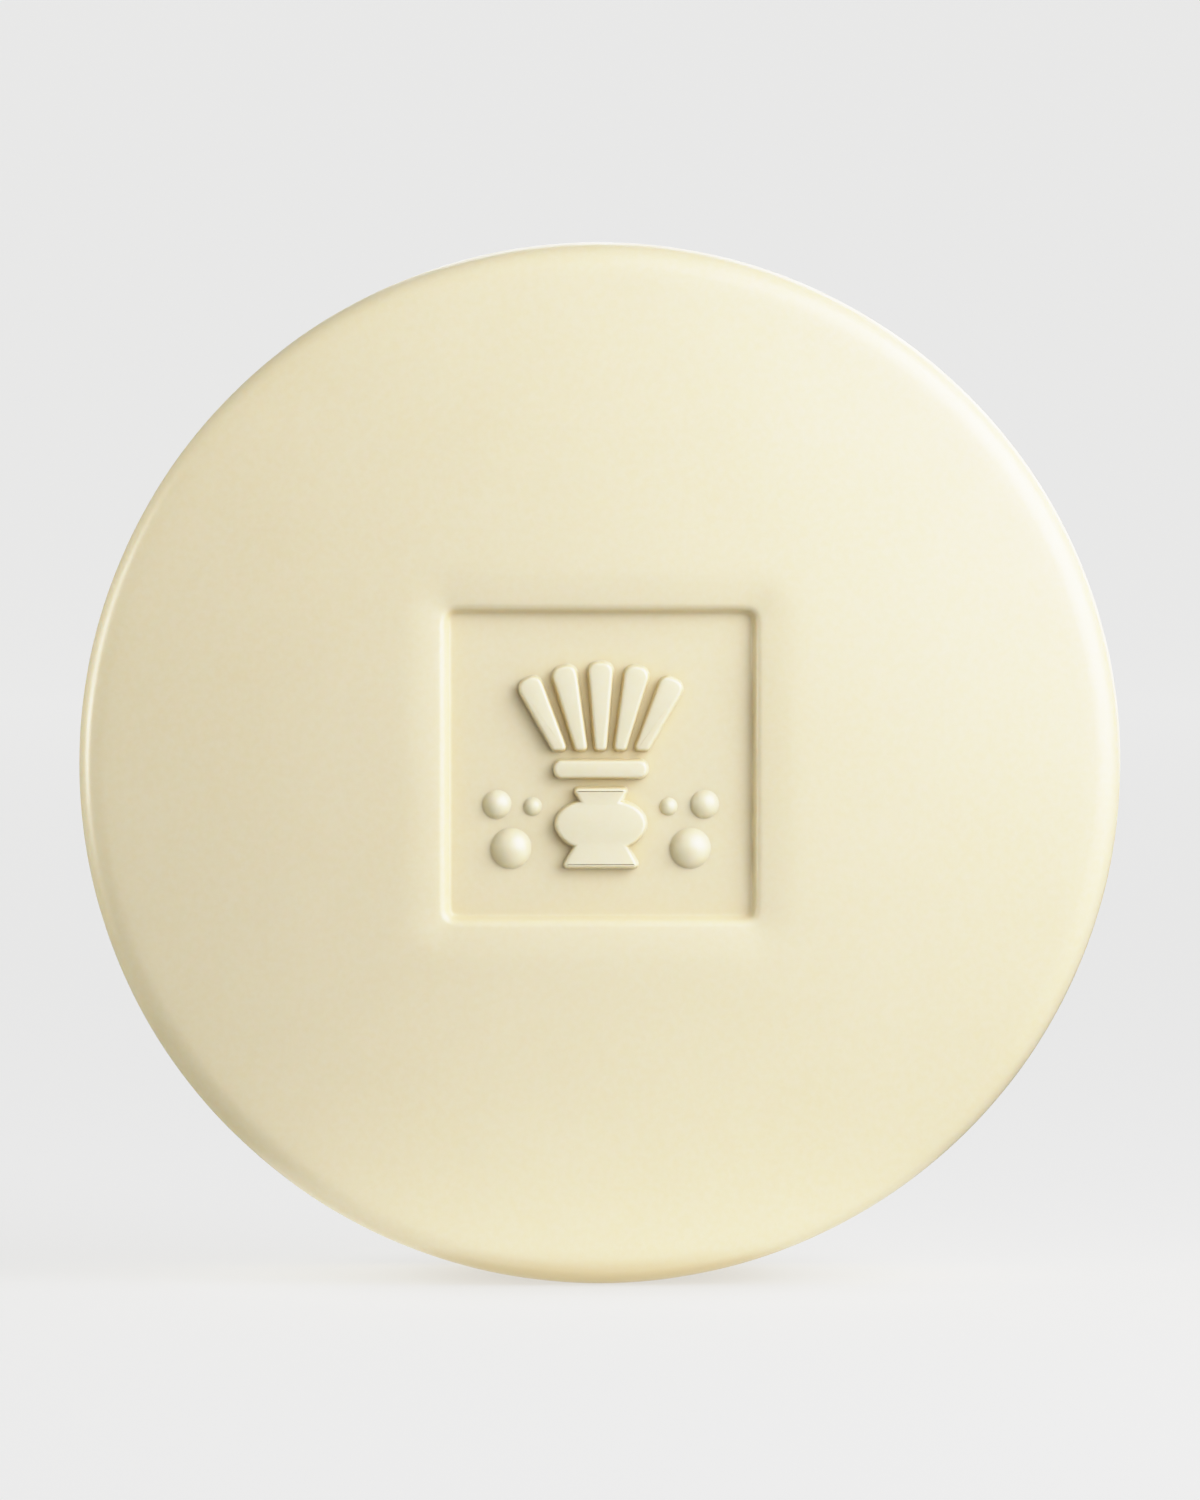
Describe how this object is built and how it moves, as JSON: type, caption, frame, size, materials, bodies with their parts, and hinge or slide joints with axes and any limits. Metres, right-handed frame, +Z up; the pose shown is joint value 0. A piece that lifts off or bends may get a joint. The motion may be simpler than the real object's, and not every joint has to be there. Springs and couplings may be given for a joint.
{
  "type": "shaving soap puck",
  "caption": "Round pressed puck of hard cream shaving soap, domed face with a square stamped recess and a small raised shaving brush mark, standing on its rim.",
  "frame": {"origin": "the point of the standing surface under the middle of the puck, which stands on its rim", "axes": "+Z up, +X across the stamped face, and the stamped face looks along -Y, so +Y is the flat back's outward normal"},
  "size_m": [0.07, 0.0238, 0.07],
  "materials": {
    "soap": "satin"
  },
  "bodies": {
    "root": {"soap_cake": "soap", "mark_bristles": "soap", "mark_collar": "soap", "mark_handle": "soap", "mark_bubbles": "soap"}
  },
  "joints": []
}
